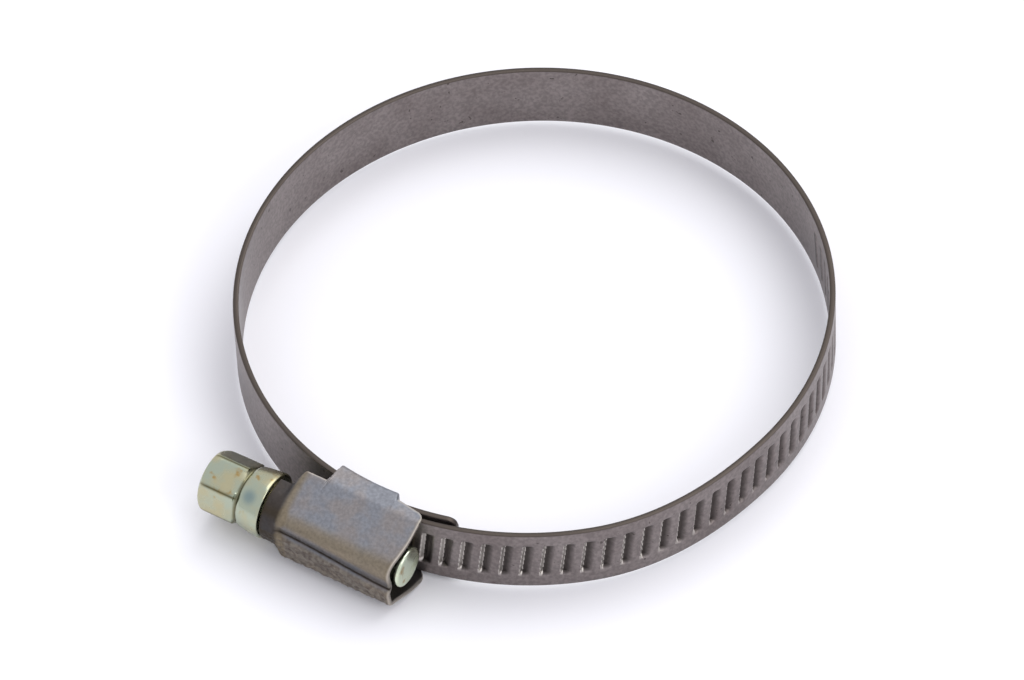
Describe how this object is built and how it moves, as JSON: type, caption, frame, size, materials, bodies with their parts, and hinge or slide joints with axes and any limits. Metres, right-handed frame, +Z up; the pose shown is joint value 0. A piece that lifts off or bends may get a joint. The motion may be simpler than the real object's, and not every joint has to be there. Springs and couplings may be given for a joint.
{
  "type": "worm-drive hose clamp",
  "caption": "Round steel band with pressed teeth, drawn tight through a folded housing by a hex-head worm screw.",
  "frame": {"origin": "on the floor under the middle of the whole clamp, lying flat", "axes": "+Z up along the axis of the loop, -Y towards the housing, +X along the screw from its head to its tip"},
  "size_m": [0.07, 0.078, 0.0106],
  "materials": {
    "band_steel": "cold-rolled chromium steel strip, dulled and faintly scuffed",
    "housing_steel": "folded chromium steel sheet, drawn rough at the bends",
    "yellow_zinc": "cold-formed steel, zinc plated and yellow passivated"
  },
  "bodies": {
    "base": {"housing": "housing_steel", "band_fixed_end": "band_steel"},
    "screw": {"worm_screw": "yellow_zinc"},
    "section_01": {"band_section_01": "band_steel"},
    "section_02": {"band_section_02": "band_steel"},
    "section_03": {"band_section_03": "band_steel"},
    "section_04": {"band_section_04": "band_steel"},
    "section_05": {"band_section_05": "band_steel"},
    "section_06": {"band_section_06": "band_steel"},
    "section_07": {"band_section_07": "band_steel"},
    "section_08": {"band_section_08": "band_steel"},
    "section_09": {"band_section_09": "band_steel"},
    "section_10": {"band_section_10": "band_steel"},
    "toothed_end": {"band_toothed_end": "band_steel"}
  },
  "joints": [
    {"name": "screw_turn", "type": "hinge", "parent": "base", "child": "screw", "pos_m": [0, -0.03495, 0.0053], "axis": [1, 0, 0], "range_deg": [0, 1800]},
    {"name": "band_bend_01", "type": "hinge", "parent": "base", "child": "section_01", "pos_m": [-0.01965, -0.02454, 0.0053], "axis": [0, 0, -1], "range_deg": [0, 1.89]},
    {"name": "band_bend_02", "type": "hinge", "parent": "base", "child": "section_02", "pos_m": [-0.02525, -0.01784, 0.0053], "axis": [0, 0, -1], "range_deg": [0, 3.71]},
    {"name": "band_bend_03", "type": "hinge", "parent": "base", "child": "section_03", "pos_m": [-0.02801, -0.01007, 0.0053], "axis": [0, 0, -1], "range_deg": [0, 5.43]},
    {"name": "band_bend_04", "type": "hinge", "parent": "base", "child": "section_04", "pos_m": [-0.02792, -0.00239, 0.0053], "axis": [0, 0, -1], "range_deg": [0, 7.05]},
    {"name": "band_bend_05", "type": "hinge", "parent": "base", "child": "section_05", "pos_m": [-0.02536, 0.00423, 0.0053], "axis": [0, 0, -1], "range_deg": [0, 8.59]},
    {"name": "band_bend_06", "type": "hinge", "parent": "base", "child": "section_06", "pos_m": [-0.02098, 0.00915, 0.0053], "axis": [0, 0, -1], "range_deg": [0, 10.1]},
    {"name": "band_bend_07", "type": "hinge", "parent": "base", "child": "section_07", "pos_m": [-0.01551, 0.01195, 0.0053], "axis": [0, 0, -1], "range_deg": [0, 11.64]},
    {"name": "band_bend_08", "type": "hinge", "parent": "base", "child": "section_08", "pos_m": [-0.00984, 0.01247, 0.0053], "axis": [0, 0, -1], "range_deg": [0, 13.24]},
    {"name": "band_bend_09", "type": "hinge", "parent": "base", "child": "section_09", "pos_m": [-0.0049, 0.01089, 0.0053], "axis": [0, 0, -1], "range_deg": [0, 14.94]},
    {"name": "band_bend_10", "type": "hinge", "parent": "base", "child": "section_10", "pos_m": [-0.00144, 0.00776, 0.0053], "axis": [0, 0, -1], "range_deg": [0, 16.73]},
    {"name": "band_bend_11", "type": "hinge", "parent": "base", "child": "toothed_end", "pos_m": [0, 0.004, 0.0053], "axis": [0, 0, -1], "range_deg": [0, 18.61]}
  ],
  "couplings": [
    {"joint": "band_bend_01", "follows": "screw_turn", "ratio": 0.0010472},
    {"joint": "band_bend_02", "follows": "screw_turn", "ratio": 0.0020558},
    {"joint": "band_bend_03", "follows": "screw_turn", "ratio": 0.0030104},
    {"joint": "band_bend_04", "follows": "screw_turn", "ratio": 0.0039099},
    {"joint": "band_bend_05", "follows": "screw_turn", "ratio": 0.0047677},
    {"joint": "band_bend_06", "follows": "screw_turn", "ratio": 0.005608},
    {"joint": "band_bend_07", "follows": "screw_turn", "ratio": 0.00646},
    {"joint": "band_bend_08", "follows": "screw_turn", "ratio": 0.0073494},
    {"joint": "band_bend_09", "follows": "screw_turn", "ratio": 0.0082924},
    {"joint": "band_bend_10", "follows": "screw_turn", "ratio": 0.0092908},
    {"joint": "band_bend_11", "follows": "screw_turn", "ratio": 0.010332}
  ]
}
